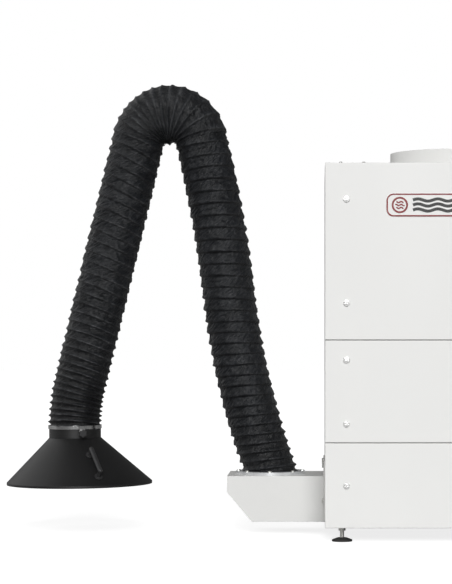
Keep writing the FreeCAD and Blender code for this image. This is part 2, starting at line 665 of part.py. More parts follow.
def make_elbow():
    """An arched double-cheek link inside the bend of the hose."""
    cx, cz = HOSE["elbow"]["centre"]
    radius, half = ELBOW_PIVOT_R, 16.0
    x, z = ELBOW_LOW
    start = math.degrees(math.atan2(z - cz, x - cx))
    strip = Part.makePolygon([vec(cx + r, y, cz) for r, y in
                              [(radius - half, CHEEK_Y), (radius + half, CHEEK_Y),
                               (radius + half, CHEEK_Y + CHEEK_THICK),
                               (radius - half, CHEEK_Y + CHEEK_THICK), (radius - half, CHEEK_Y)]])
    arch = Part.Face(strip).revolve(vec(cx, 0, cz), -Y, HOSE["elbow"]["turn"])
    arch.rotate(vec(cx, 0, cz), -Y, start)
    arches = [arch, arch.mirror(vec(0, 0, 0), Y)]
    tie = rod(vec(cx, -CHEEK_Y - 1, cz + radius), Y, 7, 2 * CHEEK_Y + 2)
    link = arches[0].fuse([arches[1], tie] + disc_pair(ELBOW_LOW) + disc_pair(ELBOW_HIGH))
    link = link.cut([pin_hole(ELBOW_LOW, 0.02), pin_hole(ELBOW_HIGH, 0.02)])
    save(link.removeSplitter(), "elbow_link")
    save(group([pin_at(ELBOW_LOW), pin_at(ELBOW_HIGH)]), "elbow_pins")


def make_hose():
    save(base_bend(), "hose_base_bend")
    lower = hose_piece("lower_a").fuse(hose_piece("lower_b", 0.0, HOSE_GAP)).removeSplitter()
    save(lower, "hose_lower_limb")
    save(hose_piece("elbow"), "hose_elbow_bend")
    save(hose_piece("upper", HOSE_GAP, HOSE_GAP), "hose_upper_limb")
    save(hose_piece("wrist", 0.0, HOSE_GAP), "hose_wrist_bend")


# ---- hood -----------------------------------------------------------------------------------
HANDLE_TURN = -66.0               # degrees round the hood from +X
RIM_EDGE = 7.0                    # upright edge round the rim


def slanted_cone(low_r, high_r, high_x, high_z):
    """A solid between the rim's circle, which is off the axis, and a circle near the collar."""
    low = Part.Wire(Part.makeCircle(low_r, vec(HOOD_RIM_SHIFT, 0, RIM_EDGE), Z))
    high = Part.Wire(Part.makeCircle(high_r, vec(high_x, 0, high_z), Z))
    return Part.makeLoft([low, high], True, True)


def make_hood():
    wall = 2.5
    neck_in = HOOD_NECK_R - wall
    collar = [(neck_in, HOOD_CONE_H + 0.2), (HOOD_NECK_R, HOOD_CONE_H + 0.2),
              (HOOD_NECK_R, HOOD_COLLAR_TOP), (neck_in, HOOD_COLLAR_TOP)]
    save(in_hood(turned(collar, vec(0, 0, 0), Z)), "hood_collar")

    rise = HOOD_CONE_H - RIM_EDGE
    inset = wall * math.hypot(HOOD_RIM_R - HOOD_NECK_R, rise) / rise
    past = 1 + 5 / rise
    top_r = HOOD_RIM_R - past * (HOOD_RIM_R - HOOD_NECK_R)
    outer = slanted_cone(HOOD_RIM_R, HOOD_NECK_R, 0.0, HOOD_CONE_H)
    inner = slanted_cone(HOOD_RIM_R - inset, top_r - inset,
                         HOOD_RIM_SHIFT * (1 - past), HOOD_CONE_H + 5)
    edge_at = vec(HOOD_RIM_SHIFT, 0, 0)
    outer = outer.fuse(rod(edge_at, Z, HOOD_RIM_R, RIM_EDGE)).removeSplitter()
    cone = outer.cut(inner).cut(rod(edge_at - Z, Z, HOOD_RIM_R - wall, RIM_EDGE + 1))
    save(in_hood(cone), "hood_cone")

    wrist = HOOD_TURN.inverted().multVec(vec(WRIST[0], 0, WRIST[1]) - HOOD_RIM)
    floor = HOOD_CONE_H + 6
    bar = box(-neck_in + 0.3, neck_in - 0.3, -CHEEK_Y - CHEEK_THICK, CHEEK_Y + CHEEK_THICK,
              floor, floor + 6)
    bar = bar.common(rod(vec(0, 0, 0), Z, neck_in - 0.1, 300))
    x, z = wrist.x, wrist.z
    cheeks = cheek_pair([(x - 20, floor), (x + 20, floor), (x + 20, z), (x - 20, z)])
    bracket = bar.fuse(cheeks + disc_pair((x, z))).cut(pin_hole((x, z), 0.02))
    save(in_hood(bracket.removeSplitter()), "hood_bracket")
    save(pin_at(WRIST), "wrist_pin")

    band_r = HOSE_R + 0.6
    band = pipe(vec(0, 0, HOOD_COLLAR_TOP - 6), Z, band_r, band_r + 1.2, 11)
    knob_z = HOOD_COLLAR_TOP - 17.5
    lug = box(band_r, band_r + 9, -8, 8, knob_z - 8, HOOD_COLLAR_TOP + 5)
    lug = lug.cut(rod(vec(band_r - 5, 0, knob_z), X, 3 + RUN, 20))
    band = band.fuse(lug).removeSplitter()
    band.rotate(vec(0, 0, 0), Z, KNOB_TURN)
    save(in_hood(band), "hose_clamp_band")

    reach = band_r + 9
    knob = Part.Face(Part.Wire(knob_outline(12.5, 1.4, 6))).extrude(vec(0, 0, 10))
    knob.Placement = FreeCAD.Placement(vec(reach + 0.5, 0, knob_z), FreeCAD.Rotation(Z, X))
    screw = rod(vec(band_r + 1.5, 0, knob_z), X, 3, 12)
    knob = knob.fuse(screw)
    knob.rotate(vec(0, 0, 0), Z, KNOB_TURN)
    save(in_hood(knob), "clamp_knob")

    length, stand, grip_r = 92.0, 27.0, 7.0
    bar = rod(vec(-length / 2, 0, stand), X, grip_r, length)
    ends = [Part.makeSphere(grip_r, vec(x, 0, stand)) for x in (-length / 2, length / 2)]
    legs = [rod(vec(x, 0, 3), Z, grip_r - 1, stand - 3) for x in (-length / 2, length / 2)]
    pads = [rod(vec(x, 0, 0.6), Z, 12, 3) for x in (-length / 2, length / 2)]
    handle = bar.fuse(ends + legs + pads).removeSplitter()
    turn = math.radians(HANDLE_TURN)
    outward = vec(math.cos(turn), math.sin(turn), 0)
    high = outward * HOOD_NECK_R + Z * HOOD_CONE_H
    low = outward * HOOD_RIM_R + vec(HOOD_RIM_SHIFT, 0, RIM_EDGE)
    down = (low - high).normalize()
    across = vec(-outward.y, outward.x, 0)
    normal = down.cross(across)
    handle.Placement = FreeCAD.Placement(high + (low - high) * 0.59,
                                         FreeCAD.Rotation(down, across, normal, "XYZ"))
    save(in_hood(handle), "hood_handle")


KNOB_TURN = -69.0                 # degrees round the neck from +X


def knob_outline(radius, wave, lobes):
    """A closed wavy outline for a star knob: radius + wave * cos(lobes * angle)."""
    points = []
    steps = lobes * 8
    for i in range(steps):
        a = 2 * math.pi * i / steps
        r = radius - wave + wave * math.cos(lobes * a)
        points.append(vec(r * math.cos(a), r * math.sin(a), 0))
    curve = Part.BSplineCurve()
    curve.interpolate(points, PeriodicFlag=True)
    return curve.toShape()


def main():
    os.makedirs("parts", exist_ok=True)
    make_feet()
    make_base_frame()
    make_cabinet_frame()
    make_panels()
    make_roof_fittings()
    for name in DOOR_SPANS:
        make_door(name)
    make_hinges()
    make_door_seals()
    make_latches()
    make_badge()
    make_controls()
    make_filters()
    make_bottom_compartment()
    make_fan()
    make_gland()
    make_inlet_box()
    make_swivel()
    save(arm_tube(SHOULDER, ELBOW_LOW), "lower_arm_tube")
    make_elbow()
    save(arm_tube(ELBOW_HIGH, WRIST), "upper_arm_tube")
    make_hose()
    make_hood()
    for name, at in [("shoulder", SHOULDER), ("elbow_low", ELBOW_LOW),
                     ("elbow_high", ELBOW_HIGH), ("wrist", WRIST), ("neck", NECK)]:
        print(f"{name}: x {at[0]:.3f}, z {at[1]:.3f}")
    print(f"hood rim: x {HOOD_RIM.x:.3f}, z {HOOD_RIM.z:.3f}")


main()
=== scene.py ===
import math

import bpy
import numpy as np
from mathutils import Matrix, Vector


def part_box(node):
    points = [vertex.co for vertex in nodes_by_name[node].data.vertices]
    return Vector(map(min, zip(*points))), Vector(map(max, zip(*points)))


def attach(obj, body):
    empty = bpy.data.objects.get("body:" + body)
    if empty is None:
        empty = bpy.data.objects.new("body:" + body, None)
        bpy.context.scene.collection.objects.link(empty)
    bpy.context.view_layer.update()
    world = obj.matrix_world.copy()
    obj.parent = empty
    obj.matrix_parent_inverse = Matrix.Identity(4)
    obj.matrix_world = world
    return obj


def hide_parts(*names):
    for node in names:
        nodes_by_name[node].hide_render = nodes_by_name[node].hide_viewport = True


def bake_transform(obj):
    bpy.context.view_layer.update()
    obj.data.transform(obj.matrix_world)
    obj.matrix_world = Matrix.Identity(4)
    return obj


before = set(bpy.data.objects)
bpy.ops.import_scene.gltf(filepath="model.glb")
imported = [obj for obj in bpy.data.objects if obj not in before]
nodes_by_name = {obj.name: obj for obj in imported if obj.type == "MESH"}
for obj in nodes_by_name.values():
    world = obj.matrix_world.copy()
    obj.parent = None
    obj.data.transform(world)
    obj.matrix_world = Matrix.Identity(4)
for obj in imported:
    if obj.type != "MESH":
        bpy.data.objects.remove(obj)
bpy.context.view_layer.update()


def new_finish(name):
    """A node material's tree, links, shader and object coordinates."""
    material = bpy.data.materials.new(name)
    material.use_nodes = True
    tree = material.node_tree
    shader = next(n for n in tree.nodes if n.type == "BSDF_PRINCIPLED")
    coords = tree.nodes.new("ShaderNodeTexCoord").outputs["Object"]
    return material, tree, shader, coords


def node(tree, kind, settings=None, inputs=None):
    """A node with its settings made, its plain inputs set and its linked inputs joined."""
    made = tree.nodes.new(kind)
    for key, value in (settings or {}).items():
        setattr(made, key, value)
    for key, value in (inputs or {}).items():
        if isinstance(value, bpy.types.NodeSocket):
            tree.links.new(value, made.inputs[key])
        else:
            made.inputs[key].default_value = value
    return made


def ramp(tree, factor, low, high):
    """Takes a factor's span from low to high onto 0 to 1."""
    return node(tree, "ShaderNodeMapRange", {"interpolation_type": "SMOOTHSTEP"},
                {"Value": factor, "From Min": low, "From Max": high}).outputs[0]


def tint(tree, factor, colour_a, colour_b):
    """Mixes two colours, either of which may be a socket."""
    mix = node(tree, "ShaderNodeMix", {"data_type": "RGBA"})
    for index, value in ((0, factor), (6, colour_a), (7, colour_b)):
        if isinstance(value, bpy.types.NodeSocket):
            tree.links.new(value, mix.inputs[index])
        else:
            mix.inputs[index].default_value = value if index == 0 else (*value, 1.0)
    return mix.outputs[2]


def scaled(tree, coords, stretch):
    """Coordinates stretched along each axis."""
    return node(tree, "ShaderNodeMapping", None,
                {"Vector": coords, "Scale": stretch}).outputs[0]


def coated(name, colour, other, rough, metallic=0.0, patch=4.0, grain=700.0, depth=0.00012,
           stretch=(1, 1, 1), corner=0.0009, wear=None, wear_rough=0.3, coat=0.0):
    """A finish that covers a whole piece: two close tones in soft patches, a roughness that
    drifts with them, a fine grain in the surface, and corners that are rounded and, with a wear
    colour, rubbed through where the rounded normal leaves the face's own one."""
    material, tree, shader, coords = new_finish(name)
    blotch = node(tree, "ShaderNodeTexNoise", None, {
        "Vector": coords, "Scale": patch, "Detail": 6.0, "Roughness": 0.6}).outputs["Fac"]
    speck = node(tree, "ShaderNodeTexNoise", None, {
        "Vector": scaled(tree, coords, stretch), "Scale": grain, "Detail": 3.0}).outputs["Fac"]
    colour_out = tint(tree, ramp(tree, blotch, 0.35, 0.65), colour, other)
    rounded = node(tree, "ShaderNodeBevel", {"samples": 4}, {"Radius": corner}).outputs[0]
    rough_out = node(tree, "ShaderNodeMapRange", None, {
        "Value": speck, "From Min": 0.3, "From Max": 0.7,
        "To Min": rough[0], "To Max": rough[1]}).outputs[0]
    if wear:
        flat = node(tree, "ShaderNodeNewGeometry").outputs["Normal"]
        same = node(tree, "ShaderNodeVectorMath", {"operation": "DOT_PRODUCT"},
                    {0: rounded, 1: flat}).outputs["Value"]
        edge = ramp(tree, same, 0.97, 0.80)
        patchy = node(tree, "ShaderNodeMath", {"operation": "MULTIPLY"},
                      {0: edge, 1: ramp(tree, blotch, 0.40, 0.62)}).outputs[0]
        colour_out = tint(tree, patchy, colour_out, wear)
        rough_out = node(tree, "ShaderNodeMix", {"data_type": "FLOAT"},
                         {0: patchy, 2: rough_out, 3: wear_rough}).outputs[0]
    bump = node(tree, "ShaderNodeBump", None, {
        "Height": speck, "Distance": depth, "Strength": 0.8, "Normal": rounded}).outputs[0]
    tree.links.new(colour_out, shader.inputs["Base Color"])
    tree.links.new(rough_out, shader.inputs["Roughness"])
    tree.links.new(bump, shader.inputs["Normal"])
    shader.inputs["Metallic"].default_value = metallic
    if coat:
        shader.inputs["Coat Weight"].default_value = coat
        shader.inputs["Coat Roughness"].default_value = 0.25
    return material


def dress(material, *names):
    """Gives CAD nodes a finish."""
    for name in names:
        held = nodes_by_name[name]
        if not held.material_slots:
            held.data.materials.append(material)
        for kept in held.material_slots:
            kept.material = material


dress(coated("rubber_pad", (0.018, 0.018, 0.018), (0.030, 0.029, 0.028), (0.7, 0.9),
             grain=450.0, depth=0.0002, wear=(0.09, 0.09, 0.085), wear_rough=0.8), "foot_pads")
dress(coated("grey_powder", (0.19, 0.20, 0.21), (0.22, 0.23, 0.24), (0.42, 0.58), grain=800.0,
             depth=0.00016, wear=(0.34, 0.34, 0.34)), "base_frame", "cabinet_frame")
bright_zinc = coated("bright_zinc", (0.60, 0.61, 0.60), (0.72, 0.71, 0.66), (0.22, 0.42),
                     metallic=1.0, patch=40.0, grain=500.0, depth=0.00005, corner=0.0006,
                     wear=(0.80, 0.80, 0.78), wear_rough=0.16)
dress(bright_zinc, "foot_studs", "cabinet_hinges", "roof_screws", "inlet_bolts",
      "shoulder_pin", "elbow_pins", "wrist_pin", "balance_spring")

# ---- decks, baffle and tray -----------------------------------------------------------------
# Galvanised sheet, cut and folded: the filter deck, the fan deck, the spark baffle, the dust
# tray, the fan's inlet ring and the motor bridge. The zinc shows its crystal flakes.


def galvanised(name):
    """Zinc flakes: each Voronoi cell has its own tone and its own gloss."""
    material, tree, shader, coords = new_finish(name)
    cells = node(tree, "ShaderNodeTexVoronoi", None, {"Vector": coords, "Scale": 85.0})
    tone = node(tree, "ShaderNodeSeparateColor", None, {0: cells.outputs["Color"]}).outputs[0]
    veil = node(tree, "ShaderNodeTexNoise", None, {
        "Vector": coords, "Scale": 9.0, "Detail": 7.0}).outputs["Fac"]
    flake = tint(tree, tone, (0.42, 0.44, 0.45), (0.62, 0.63, 0.64))
    tree.links.new(tint(tree, ramp(tree, veil, 0.45, 0.75), flake, (0.50, 0.51, 0.52)),
                   shader.inputs["Base Color"])
    tree.links.new(node(tree, "ShaderNodeMapRange", None, {
        "Value": tone, "To Min": 0.30, "To Max": 0.52}).outputs[0], shader.inputs["Roughness"])
    rounded = node(tree, "ShaderNodeBevel", {"samples": 4}, {"Radius": 0.0007}).outputs[0]
    tree.links.new(node(tree, "ShaderNodeBump", None, {
        "Height": tone, "Distance": 0.00006, "Strength": 0.7, "Normal": rounded}).outputs[0],
        shader.inputs["Normal"])
    shader.inputs["Metallic"].default_value = 0.9
    return material


zinc_flake = galvanised("galvanised_sheet")
dress(zinc_flake, "filter_deck", "fan_deck", "spark_baffle", "dust_tray", "fan_inlet_ring",
      "motor_bridge")

# ---- filters --------------------------------------------------------------------------------
# A knitted wire prefilter cassette slides in under a pleated main filter. The pleats are an
# off-white fibre paper in a folded steel frame.


def knitted_wire(name):
    """Crossed waves on two diagonals make the wire's loops. The colour is a painted highlight
    where the wire is proud and painted shade, near black, between the loops.
    """
    material, tree, shader, coords = new_finish(name)
    heights = []
    for turn in (0.7854, -0.7854):
        turned = node(tree, "ShaderNodeMapping", None, {
            "Vector": coords, "Rotation": (turn, turn, turn)}).outputs[0]
        heights.append(node(tree, "ShaderNodeTexWave", None, {
            "Vector": turned, "Scale": 55.0, "Distortion": 1.6, "Detail": 1.0}).outputs["Fac"])
    loops = node(tree, "ShaderNodeMath", {"operation": "MAXIMUM"},
                 {0: heights[0], 1: heights[1]}).outputs[0]
    # Painted highlight and shade: the tone runs from near black in the low parts to bright on the
    # proud wire.
    tree.links.new(tint(tree, ramp(tree, loops, 0.55, 0.95), (0.05, 0.05, 0.05),
                        (0.62, 0.62, 0.60)), shader.inputs["Base Color"])
    tree.links.new(node(tree, "ShaderNodeBump", None, {
        "Height": loops, "Distance": 0.0016, "Strength": 0.9}).outputs[0],
        shader.inputs["Normal"])
    shader.inputs["Metallic"].default_value = 0.85
    shader.inputs["Roughness"].default_value = 0.38
    return material


dress(knitted_wire("knitted_wire"), "prefilter_cassette")
dress(coated("filter_frame_steel", (0.50, 0.51, 0.52), (0.58, 0.58, 0.57), (0.30, 0.48),
             metallic=0.9, patch=12.0, stretch=(1, 1, 14), grain=260.0, depth=0.00005),
      "main_filter_frame")
dress(coated("pleat_paper", (0.74, 0.72, 0.66), (0.62, 0.60, 0.55), (0.80, 0.95), patch=7.0,
             grain=380.0, depth=0.00035, stretch=(1, 5, 1), corner=0.0012), "main_filter_pleats")

# ---- fan and motor --------------------------------------------------------------------------
# A backward-curved impeller, spun and riveted from sheet, hangs on a finned motor that is
# painted in a hammered blue-grey enamel.
dress(coated("fan_sheet", (0.46, 0.47, 0.49), (0.56, 0.56, 0.57), (0.26, 0.44), metallic=0.95,
             patch=9.0, grain=320.0, stretch=(1, 1, 9), depth=0.00006,
             wear=(0.72, 0.72, 0.72)), "fan_impeller")
dress(coated("motor_enamel", (0.10, 0.15, 0.20), (0.13, 0.18, 0.23), (0.26, 0.40), patch=20.0,
             grain=260.0, depth=0.0005, coat=0.4, wear=(0.26, 0.28, 0.30)), "fan_motor")

# ---- cabinet panels and roof ----------------------------------------------------------------
# Folded 2 mm sheet, powder coated off-white with a fine, slightly glossy orange-peel skin. The
# roof carries the round outlet collar, rolled from the same sheet.


def white_powder(name, tone, other):
    """Two noises make the skin: a 1.5 mm orange peel and a far finer grit. A faint third one,
    broad and stretched down the panels, drifts the tone as handling does. The rounded edges are
    painted darker, as painted shade along them."""
    material, tree, shader, coords = new_finish(name)
    peel = node(tree, "ShaderNodeTexNoise", None, {
        "Vector": coords, "Scale": 420.0, "Detail": 1.5}).outputs["Fac"]
    grit = node(tree, "ShaderNodeTexNoise", None, {
        "Vector": coords, "Scale": 1900.0, "Detail": 2.0}).outputs["Fac"]
    drift = node(tree, "ShaderNodeTexNoise", None, {
        "Vector": scaled(tree, coords, (1, 1, 0.35)), "Scale": 3.2, "Detail": 5.0}).outputs["Fac"]
    rounded = node(tree, "ShaderNodeBevel", {"samples": 6}, {"Radius": 0.0016}).outputs[0]
    skin = node(tree, "ShaderNodeBump", None, {
        "Height": peel, "Distance": 0.00010, "Strength": 0.7, "Normal": rounded}).outputs[0]
    skin = node(tree, "ShaderNodeBump", None, {
        "Height": grit, "Distance": 0.00003, "Strength": 0.6, "Normal": skin}).outputs[0]
    flat = node(tree, "ShaderNodeNewGeometry").outputs["Normal"]
    same = node(tree, "ShaderNodeVectorMath", {"operation": "DOT_PRODUCT"},
                {0: rounded, 1: flat}).outputs["Value"]
    # Painted shade: the colour darkens along every edge, where the rounded normal leaves the
    # face's own.
    edge = node(tree, "ShaderNodeMath", {"operation": "MULTIPLY"},
                {0: ramp(tree, same, 0.98, 0.85), 1: 0.5}).outputs[0]
    base = tint(tree, ramp(tree, drift, 0.3, 0.7), tone, other)
    tree.links.new(tint(tree, edge, base, tuple(0.82 * c for c in tone)),
                   shader.inputs["Base Color"])
    tree.links.new(node(tree, "ShaderNodeMapRange", None, {
        "Value": drift, "From Min": 0.3, "From Max": 0.7,
        "To Min": 0.38, "To Max": 0.50}).outputs[0], shader.inputs["Roughness"])
    tree.links.new(skin, shader.inputs["Normal"])
    shader.inputs["Specular IOR Level"].default_value = 0.4
    return material


cabinet_white = white_powder("white_powder", (0.86, 0.86, 0.845), (0.84, 0.84, 0.825))
dress(cabinet_white, "left_side_panel", "right_side_panel", "back_panel", "top_panel")
# The collar has the cabinet's white coating in a darker tone, as painted shade.
dress(white_powder("white_powder_collar_shaded", (0.77, 0.77, 0.755), (0.75, 0.75, 0.735)),
      "outlet_collar")

# ---- doors ----------------------------------------------------------------------------------
# Three folded door trays, each with its return edges, hang on the right and close on a foam
# strip. They have the cabinet's own coating.
dress(cabinet_white, "top_door", "mid_door", "bottom_door")
dress(coated("seal_foam", (0.035, 0.035, 0.036), (0.05, 0.05, 0.05), (0.85, 1.0), grain=900.0,
             depth=0.0006), "door_seals")

# ---- latches --------------------------------------------------------------------------------
# Quarter-turn latches of bright plated steel, with a turned face and a slot for a key.
dress(coated("latch_plate", (0.92, 0.92, 0.91), (0.86, 0.86, 0.85), (0.22, 0.32), metallic=0.75,
             patch=60.0, grain=900.0, depth=0.00003, corner=0.0012,
             wear=(0.88, 0.88, 0.86), wear_rough=0.12),
      "latch_top_upper", "latch_top_lower", "latch_mid_upper", "latch_mid_lower",
      "latch_bottom")

# ---- badge ----------------------------------------------------------------------------------
# A thin white plate with a printed red keyline. In place of a name it has a plain airflow sign:
# a red ring with three short waves, and three long dark waves that run on beside it.
badge_low, badge_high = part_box("badge_plate")
BADGE_FACE = badge_low.y
PRINT_PROUD = 0.0005
dress(coated("badge_enamel", (0.84, 0.835, 0.82), (0.86, 0.855, 0.84), (0.22, 0.34), patch=15.0,
             grain=900.0, depth=0.00003, coat=0.3), "badge_plate")


def surface(name, points, material, close_rows=False, close_columns=True, uv=None, extra=None):
    """A mesh from a grid of points, rows by columns. Rows and columns may each close on
    themselves. The faces are turned to point outwards by the sign of the enclosed volume. uv
    gives (rows, columns) arrays one longer where that way is closed; extra gives attributes."""
    rows, columns = points.shape[:2]
    i, j = np.meshgrid(np.arange(rows if close_rows else rows - 1),
                       np.arange(columns if close_columns else columns - 1), indexing="ij")
    i, j = i.ravel(), j.ravel()
    corners = [(i, j), (i, j + 1), (i + 1, j + 1), (i + 1, j)]
    quads = np.stack([(a % rows) * columns + b % columns for a, b in corners], 1)
    flat = points.reshape(-1, 3)
    a, b, c, d = (flat[quads[:, k]] for k in range(4))
    volume = np.sum(np.cross(c - a, d - b) * (a + b + c + d - 4 * flat.mean(0)))
    order = [0, 1, 2, 3] if volume > 0 else [3, 2, 1, 0]
    mesh = bpy.data.meshes.new(name)
    mesh.from_pydata(flat, [], quads[:, order])
    if uv is not None:
        across, along = uv
        layer = mesh.uv_layers.new(name="UVMap")
        pairs = np.stack([np.stack([across[corners[k][1]], along[corners[k][0]]], 1)
                          for k in order], 1)
        layer.data.foreach_set("uv", pairs.astype(np.float32).ravel())
    for key, values in (extra or {}).items():
        mesh.attributes.new(key, "FLOAT", "POINT").data.foreach_set(
            "value", values.astype(np.float32).ravel())
    mesh.polygons.foreach_set("use_smooth", np.ones(len(mesh.polygons), bool))
    mesh.materials.append(material)
    made = bpy.data.objects.new(name, mesh)
    bpy.context.scene.collection.objects.link(made)
    return made


def printed_stroke(x, z, width, proud, closed):
    """A flat bar carried along a path in the badge's plane: at each point of the path its four
    corners lie half the width to either side, and on the plate or proud of it."""
    if closed:
        dx, dz = np.roll(x, -1) - np.roll(x, 1), np.roll(z, -1) - np.roll(z, 1)
    else:
        dx, dz = np.gradient(x), np.gradient(z)
    run = np.hypot(dx, dz)
    nx, nz = -dz / run * width / 2, dx / run * width / 2
    near, far = BADGE_FACE - proud, BADGE_FACE + 0.0002
    ring = [(nx, nz, near), (-nx, -nz, near), (-nx, -nz, far), (nx, nz, far)]
    return np.stack([np.stack([x + a, np.full_like(x, y), z + b], 1) for a, b, y in ring], 1)


def printed(name, x, z, width, material, closed=False):
    """One stroke of the print. An open stroke's ends are drawn to a point, which closes them."""
    grid = printed_stroke(x, z, width, PRINT_PROUD, closed)
    if not closed:
        first, last = grid[:1].mean(1, keepdims=True), grid[-1:].mean(1, keepdims=True)
        grid = np.concatenate([np.repeat(first, 4, 1), grid, np.repeat(last, 4, 1)])
    made = surface(name, grid, material, close_rows=closed)
    made.data.polygons.foreach_set("use_smooth", np.zeros(len(made.data.polygons), bool))
    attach(made, "top_door")
    return made


print_red = coated("print_red", (0.22, 0.020, 0.022), (0.26, 0.028, 0.028), (0.30, 0.42),
                   patch=30.0, grain=1500.0, depth=0.00002)
print_dark = coated("print_dark", (0.020, 0.021, 0.020), (0.030, 0.031, 0.030), (0.30, 0.42),
                    patch=30.0, grain=1500.0, depth=0.00002)

KEYLINE_IN = 0.0022
KEYLINE_WIDTH = 0.0042
KEYLINE_CORNER = 0.0185
turn = np.linspace(0, 2 * np.pi, 96, endpoint=False)
quadrant = np.floor(turn / (np.pi / 2)).astype(int) % 4
mid_x, mid_z = (badge_low.x + badge_high.x) / 2, (badge_low.z + badge_high.z) / 2
half_x = (badge_high.x - badge_low.x) / 2 - KEYLINE_IN - KEYLINE_CORNER
half_z = (badge_high.z - badge_low.z) / 2 - KEYLINE_IN - KEYLINE_CORNER
printed("badge_keyline",
        mid_x + np.array([1, -1, -1, 1])[quadrant] * half_x + KEYLINE_CORNER * np.cos(turn),
        mid_z + np.array([1, 1, -1, -1])[quadrant] * half_z + KEYLINE_CORNER * np.sin(turn),
        KEYLINE_WIDTH, print_red, closed=True)

SIGN_X = badge_low.x + 0.039
SIGN_R = 0.021
RING_WIDTH = 0.0055
SHORT_WIDTH, SHORT_SPACING, SHORT_SWING, SHORT_LENGTH = 0.0042, 0.0085, 0.0016, 0.0145
LONG_WIDTH, LONG_SPACING, LONG_SWING, LONG_LENGTH = 0.0088, 0.0145, 0.0032, 0.058
LONG_START, LONG_END = badge_low.x + 0.077, badge_high.x - 0.022
printed("badge_ring", SIGN_X + SIGN_R * np.cos(turn), mid_z + SIGN_R * np.sin(turn),
        RING_WIDTH, print_red, closed=True)
for row in (-1, 0, 1):
    reach = 0.0105 if row else 0.0135
    across = np.linspace(-reach, reach, 25)
    printed(f"badge_short_wave_{row + 2}", SIGN_X + across,
            mid_z + SHORT_SPACING * row + SHORT_SWING * np.sin(across * 2 * np.pi / SHORT_LENGTH),
            SHORT_WIDTH, print_red)
    x = np.linspace(LONG_START, LONG_END, 220)
    rise = LONG_SWING * np.sin((x - LONG_START) * 2 * np.pi / LONG_LENGTH)
    printed(f"badge_long_wave_{row + 2}", x, mid_z + LONG_SPACING * row + rise,
            LONG_WIDTH, print_dark)

# ---- controls and cable gland ---------------------------------------------------------------
# A grey moulded plate holds a green and a red push button. The supply enters through a nylon
# gland in the back.
dress(coated("control_moulding", (0.28, 0.29, 0.30), (0.31, 0.32, 0.33), (0.42, 0.56),
             grain=1100.0, depth=0.00012), "control_plate")
dress(coated("button_green", (0.02, 0.26, 0.07), (0.03, 0.30, 0.09), (0.28, 0.40),
             grain=1300.0, depth=0.00005, coat=0.3), "start_button")
dress(coated("button_red", (0.42, 0.020, 0.018), (0.48, 0.028, 0.024), (0.28, 0.40),
             grain=1300.0, depth=0.00005, coat=0.3), "stop_button")
dress(coated("gland_nylon", (0.24, 0.25, 0.26), (0.27, 0.28, 0.29), (0.48, 0.62), grain=900.0,
             depth=0.0001), "cable_gland")

# ---- inlet box and swivel -------------------------------------------------------------------
# The white inlet box, with a sloped underside, bolts to the cabinet's side by its flange. The
# arm's swivel ring is galvanised and bolted through the box's top, on a nylon bearing.
# The inlet box and its flange have the cabinet's white coating in a darker tone, as painted
# shade.
dress(white_powder("white_powder_inlet_shaded", (0.77, 0.77, 0.755), (0.75, 0.75, 0.735)),
      "inlet_box", "inlet_flange")
dress(coated("ring_zinc", (0.80, 0.81, 0.82), (0.70, 0.71, 0.72), (0.30, 0.42), metallic=0.6,
             patch=40.0, grain=900.0, depth=0.00005), "swivel_flange")
dress(coated("bearing_nylon", (0.70, 0.69, 0.64), (0.74, 0.73, 0.68), (0.40, 0.55),
             grain=900.0, depth=0.00008), "swivel_bearing")

# ---- arm ------------------------------------------------------------------------------------
# Tubes and forks inside the hose, black powder coated, turning on the plated pins.
dress(coated("arm_black", (0.014, 0.014, 0.015), (0.020, 0.020, 0.021), (0.42, 0.58),
             grain=800.0, depth=0.00018, wear=(0.16, 0.16, 0.16)),
      "swivel_hub", "lower_arm_tube", "elbow_link", "upper_arm_tube", "hood_bracket")

# ---- hose -----------------------------------------------------------------------------------
# One 160 mm duct of coated black cloth over a spring-wire helix. Between turns of the wire the
# cloth is slack: it hangs into a small skirt over the turn below, wrinkles on the diagonal, and
# closes like a bellows where the duct is short of room, at the elbow's inside and at the hood.
# The centre line is a chain of arcs, each a turn in degrees and a radius, or a straight's length.
HOSE_START = (-0.082, 0.188)
HOSE_HEADING = math.radians(110.0)
HOSE_RUNS = [(-2.9, 2.399), (-10.6, 2.399), (7.5, 3.680), (152.5, 0.098), (0.0, 0.782),
             (14.0, 0.5155)]
HOSE_R = 0.0795
HOSE_INSIDE = 0.0725
HOSE_STEP = 0.00025
COLUMNS = 220
ROW_STEP = 0.0023

run_start, run_heading = [0.0], [HOSE_HEADING]
for degrees, size in HOSE_RUNS:
    run_start.append(run_start[-1] + (abs(math.radians(degrees)) * size if degrees else size))
    run_heading.append(run_heading[-1] + math.radians(degrees))

hose_s = np.arange(-0.06, run_start[-1] + 0.02, HOSE_STEP)
hose_turn = np.interp(hose_s, run_start, run_heading)
line_x = np.cumsum(np.cos(hose_turn)) * HOSE_STEP
line_z = np.cumsum(np.sin(hose_turn)) * HOSE_STEP
line_x += HOSE_START[0] - np.interp(0.0, hose_s, line_x)
line_z += HOSE_START[1] - np.interp(0.0, hose_s, line_z)

